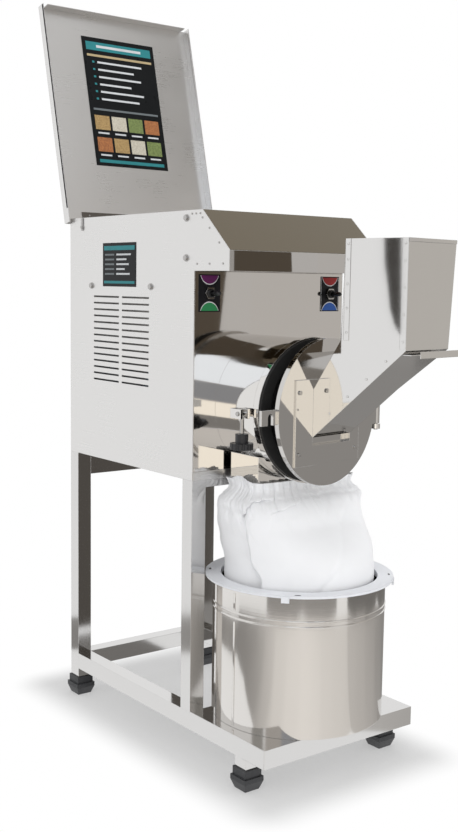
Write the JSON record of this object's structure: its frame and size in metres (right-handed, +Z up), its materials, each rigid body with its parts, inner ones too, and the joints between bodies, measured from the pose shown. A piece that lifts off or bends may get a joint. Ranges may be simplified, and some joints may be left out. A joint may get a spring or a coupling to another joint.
{
  "type": "flour mill",
  "caption": "Floor-standing domestic flour mill: steel cabinet with a hinged lid on a tube stand, a round milling chamber with a hinged door and elbow hopper, and a bag that feeds a bucket.",
  "frame": {"origin": "floor level, at the middle of the part's footprint box as it stands with its lid open and its door ajar", "axes": "+Z up, the mill's front with the door and hopper faces -Y, +X is to the right of someone who faces the front"},
  "size_m": [0.39, 0.9811, 1.5295],
  "materials": {
    "satin_steel": "satin stainless sheet and tube",
    "mirror_steel": "polished stainless",
    "hopper_steel": "bright stainless sheet with a fine grain",
    "bronze_mirror": "polished sheet that reflects a warm room",
    "bright_fastener": "plated screws, pins and shafts",
    "dark_hinge": "dark piano hinge leaf",
    "foot_plastic": "black moulded feet",
    "black_plastic": "black moulded plastic",
    "printed_card": "dark printed card with plain bars",
    "switch_card": "dark switch plate with coloured arcs",
    "motor_paint": "grey-blue paint",
    "cast_iron": "dark cast iron",
    "lamination": "stacked laminations",
    "winding": "varnished winding",
    "capacitor_can": "plain can",
    "sieve_steel": "perforated ring",
    "black_rubber": "moulded seal",
    "bag_cloth": "white woven cotton",
    "bucket_steel": "spun steel pail",
    "white_plastic": "white moulded ring"
  },
  "bodies": {
    "mill": {"leg_front_left": "satin_steel", "leg_front_right": "satin_steel", "leg_back_left": "satin_steel", "leg_back_right": "satin_steel", "rail_left": "satin_steel", "rail_right": "satin_steel", "cross_rails": "satin_steel", "front_stubs": "satin_steel", "platform": "satin_steel", "feet": "foot_plastic", "left_panel": "satin_steel", "right_panel": "satin_steel", "back_panel": "satin_steel", "floor_panel": "satin_steel", "front_panel": "mirror_steel", "hood_shell": "satin_steel", "hood_bezel": "bronze_mirror", "panel_fasteners": "bright_fastener", "side_card_left": "printed_card", "cable_gland": "black_plastic", "hinge_leaf_back": "dark_hinge", "hinge_pin": "bright_fastener", "switch_plates": "switch_card", "switch_bodies": "black_plastic", "switch_nuts": "bright_fastener", "motor_case": "motor_paint", "motor_ends": "motor_paint", "motor_cradle": "cast_iron", "stator": "winding", "fan_cowl": "motor_paint", "bearings": "bright_fastener", "shaft_seal": "black_rubber", "capacitor": "capacitor_can", "mill_housing": "mirror_steel", "outlet_chute": "mirror_steel", "door_seal": "black_rubber", "sieve_ring": "sieve_steel", "door_bracket": "mirror_steel", "pivot_pins": "bright_fastener", "clamp_bracket": "mirror_steel", "filter_bag": "bag_cloth"},
    "lid": {"lid": "satin_steel", "lid_info_card": "printed_card", "hinge_leaf_lid": "dark_hinge"},
    "spindle": {"armature": "lamination", "drive_shaft": "bright_fastener", "cooling_fan": "black_plastic", "beater_rotor": "cast_iron"},
    "door": {"mill_door": "mirror_steel", "feed_plate": "mirror_steel", "hopper": "hopper_steel", "hopper_trim": "hopper_steel", "door_screws": "bright_fastener"},
    "gate": {"feed_gate": "hopper_steel"},
    "clamp": {"clamp_bolt": "bright_fastener"},
    "knob": {"clamp_knob": "black_plastic"},
    "lever_left": {"switch_lever_left": "black_plastic"},
    "lever_right": {"switch_lever_right": "black_plastic"},
    "bucket": {"bucket": "bucket_steel"},
    "ring": {"ring_lid": "white_plastic"}
  },
  "joints": [
    {"name": "lid_hinge", "type": "hinge", "parent": "mill", "child": "lid", "pos_m": [0, 0.36831, 1.0565], "axis": [1, 0, 0], "range_deg": [0, 103.7]},
    {"name": "door_hinge", "type": "hinge", "parent": "mill", "child": "door", "pos_m": [0.1505, -0.24599, 0.69], "axis": [0, 0, 1], "range_deg": [-7.8, 100]},
    {"name": "gate_slide", "type": "slide", "parent": "door", "child": "gate", "axis": [0.1357, -0.9907, 0], "range_m": [0, 0.1]},
    {"name": "clamp_swing", "type": "hinge", "parent": "mill", "child": "clamp", "pos_m": [-0.15451, -0.20999, 0.69], "axis": [-1, 0, 0], "range_deg": [0, 90]},
    {"name": "knob_turn", "type": "hinge", "parent": "clamp", "child": "knob", "pos_m": [-0.15451, -0.20999, 0.69], "axis": [0, 0, 1], "continuous": true},
    {"name": "switch_left_tilt", "type": "hinge", "parent": "mill", "child": "lever_left", "pos_m": [-0.152, -0.10399, 0.907], "axis": [1, 0, 0], "range_deg": [-14, 14]},
    {"name": "switch_right_tilt", "type": "hinge", "parent": "mill", "child": "lever_right", "pos_m": [0.152, -0.10399, 0.907], "axis": [1, 0, 0], "range_deg": [-14, 14]},
    {"name": "spindle_spin", "type": "hinge", "parent": "mill", "child": "spindle", "pos_m": [0, -0.10099, 0.69], "axis": [0, 1, 0], "continuous": true},
    {"name": "bucket_slide", "type": "slide", "parent": "mill", "child": "bucket", "axis": [0, -1, 0], "range_m": [0, 0.35], "deforming": ["filter_bag"]},
    {"name": "ring_lift", "type": "slide", "parent": "bucket", "child": "ring", "axis": [0, 0, 1], "range_m": [0, 0.04]}
  ]
}
